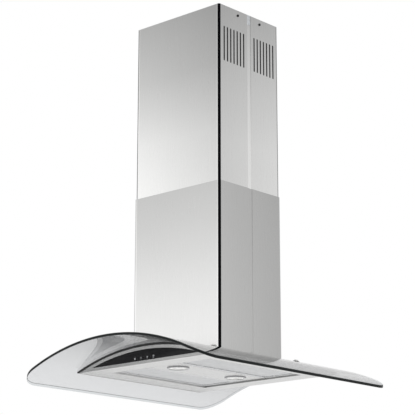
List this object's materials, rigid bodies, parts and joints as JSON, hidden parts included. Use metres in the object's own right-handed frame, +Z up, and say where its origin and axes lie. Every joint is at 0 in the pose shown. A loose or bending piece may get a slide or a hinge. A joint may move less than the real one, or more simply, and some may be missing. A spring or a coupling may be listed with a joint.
{
  "type": "range hood",
  "caption": "Island range hood with an arched glass canopy, a steel body with push keys and tilting filters, and a telescopic chimney",
  "frame": {"origin": "middle of the ceiling plate's top face, on the ceiling", "axes": "+Z up towards the ceiling, +X to the right seen from the front, -Y towards the front with the keys"},
  "size_m": [0.776, 0.9, 1.2014],
  "materials": {
    "brushed_steel": "fine vertical brush, satin",
    "galvanised": "dull zinc",
    "canopy_glass": "clear, ground edges",
    "panel_black": "gloss black",
    "key_black": "satin black",
    "seal_rubber": "matt black",
    "bright_steel": "polished",
    "lamp_metal": "satin chrome",
    "lamp_glass": "frosted",
    "filter_aluminium": "mill finish",
    "black_plastic": "fine grain",
    "latch_grey": "satin",
    "cable_jacket": "matt",
    "circuit_green": "solder mask",
    "driver_white": "matt",
    "motor_grey": "semi gloss",
    "fan_black": "matt",
    "flap_plastic": "matt"
  },
  "bodies": {
    "ceiling_mount": {"ceiling_plate": "galvanised", "upper_posts": "galvanised", "upper_cover_front": "brushed_steel", "upper_cover_rear": "brushed_steel", "upper_cover_laps": "brushed_steel", "cover_screws": "bright_steel"},
    "hood": {"lower_cover_front": "brushed_steel", "lower_cover_rear": "brushed_steel", "lower_cover_laps": "brushed_steel", "front_fascia": "brushed_steel", "rear_fascia": "brushed_steel", "top_shell": "brushed_steel", "bottom_pan": "brushed_steel", "recess_frame": "brushed_steel", "lamp_strip": "brushed_steel", "lower_posts": "galvanised", "frame_plate": "galvanised", "blower_box": "galvanised", "inlet_plate": "galvanised", "motor_bracket": "galvanised", "outlet_collar": "galvanised", "capacitor_clip": "galvanised", "glass_canopy": "canopy_glass", "control_panel": "panel_black", "glass_seal": "seal_rubber", "glass_washers": "seal_rubber", "glass_bolts": "bright_steel", "post_bolts": "bright_steel", "filter_hinge_rod": "bright_steel", "damper_pins": "bright_steel", "filter_keeper_left": "bright_steel", "filter_keeper_right": "bright_steel", "lamp_housing_front": "lamp_metal", "lamp_housing_rear": "lamp_metal", "lamp_lens_front": "lamp_glass", "lamp_lens_rear": "lamp_glass", "power_box": "black_plastic", "cable_gland": "black_plastic", "control_housing": "black_plastic", "tact_switches": "black_plastic", "wiring": "cable_jacket", "control_board": "circuit_green", "led_boards": "circuit_green", "led_driver": "driver_white", "capacitor": "driver_white", "motor": "motor_grey"},
    "impeller": {"impeller": "fan_black", "motor_shaft": "bright_steel"},
    "damper_front": {"damper_flap_front": "flap_plastic"},
    "damper_rear": {"damper_flap_rear": "flap_plastic"},
    "filter_left": {"filter_frame_left": "filter_aluminium", "filter_mesh_left": "filter_aluminium"},
    "filter_right": {"filter_frame_right": "filter_aluminium", "filter_mesh_right": "filter_aluminium"},
    "latch_left": {"filter_latch_left": "latch_grey"},
    "latch_right": {"filter_latch_right": "latch_grey"},
    "button_power": {"key_power": "key_black"},
    "button_slower": {"key_slower": "key_black"},
    "button_faster": {"key_faster": "key_black"},
    "button_light": {"key_light": "key_black"}
  },
  "joints": [
    {"name": "height_adjust", "type": "slide", "parent": "ceiling_mount", "child": "hood", "axis": [0, 0, 1], "range_m": [-0.02, 0.4]},
    {"name": "impeller_spin", "type": "hinge", "parent": "hood", "child": "impeller", "pos_m": [0, 0, -1.057], "axis": [0, 0, 1], "continuous": true},
    {"name": "damper_front_open", "type": "hinge", "parent": "hood", "child": "damper_front", "pos_m": [0, -0.004, -0.831], "axis": [-1, 0, 0], "range_deg": [0, 75]},
    {"name": "damper_rear_open", "type": "hinge", "parent": "hood", "child": "damper_rear", "pos_m": [0, 0.004, -0.831], "axis": [1, 0, 0], "range_deg": [0, 75]},
    {"name": "filter_left_tilt", "type": "hinge", "parent": "hood", "child": "filter_left", "pos_m": [0, 0.2085, -1.1528], "axis": [1, 0, 0], "range_deg": [0, 70], "deforming": ["filter_keeper_left"]},
    {"name": "filter_right_tilt", "type": "hinge", "parent": "hood", "child": "filter_right", "pos_m": [0, 0.2085, -1.1528], "axis": [1, 0, 0], "range_deg": [0, 70], "deforming": ["filter_keeper_right"]},
    {"name": "latch_left_slide", "type": "slide", "parent": "filter_left", "child": "latch_left", "axis": [0, 1, 0], "range_m": [0, 0.004], "stiffness_N_per_m": 600, "springref_m": -0.002},
    {"name": "latch_right_slide", "type": "slide", "parent": "filter_right", "child": "latch_right", "axis": [0, 1, 0], "range_m": [0, 0.004], "stiffness_N_per_m": 600, "springref_m": -0.002},
    {"name": "power_press", "type": "slide", "parent": "hood", "child": "button_power", "axis": [0, 1, 0], "range_m": [0, 0.0012], "stiffness_N_per_m": 900, "springref_m": -0.0005},
    {"name": "slower_press", "type": "slide", "parent": "hood", "child": "button_slower", "axis": [0, 1, 0], "range_m": [0, 0.0012], "stiffness_N_per_m": 900, "springref_m": -0.0005},
    {"name": "faster_press", "type": "slide", "parent": "hood", "child": "button_faster", "axis": [0, 1, 0], "range_m": [0, 0.0012], "stiffness_N_per_m": 900, "springref_m": -0.0005},
    {"name": "light_press", "type": "slide", "parent": "hood", "child": "button_light", "axis": [0, 1, 0], "range_m": [0, 0.0012], "stiffness_N_per_m": 900, "springref_m": -0.0005}
  ]
}
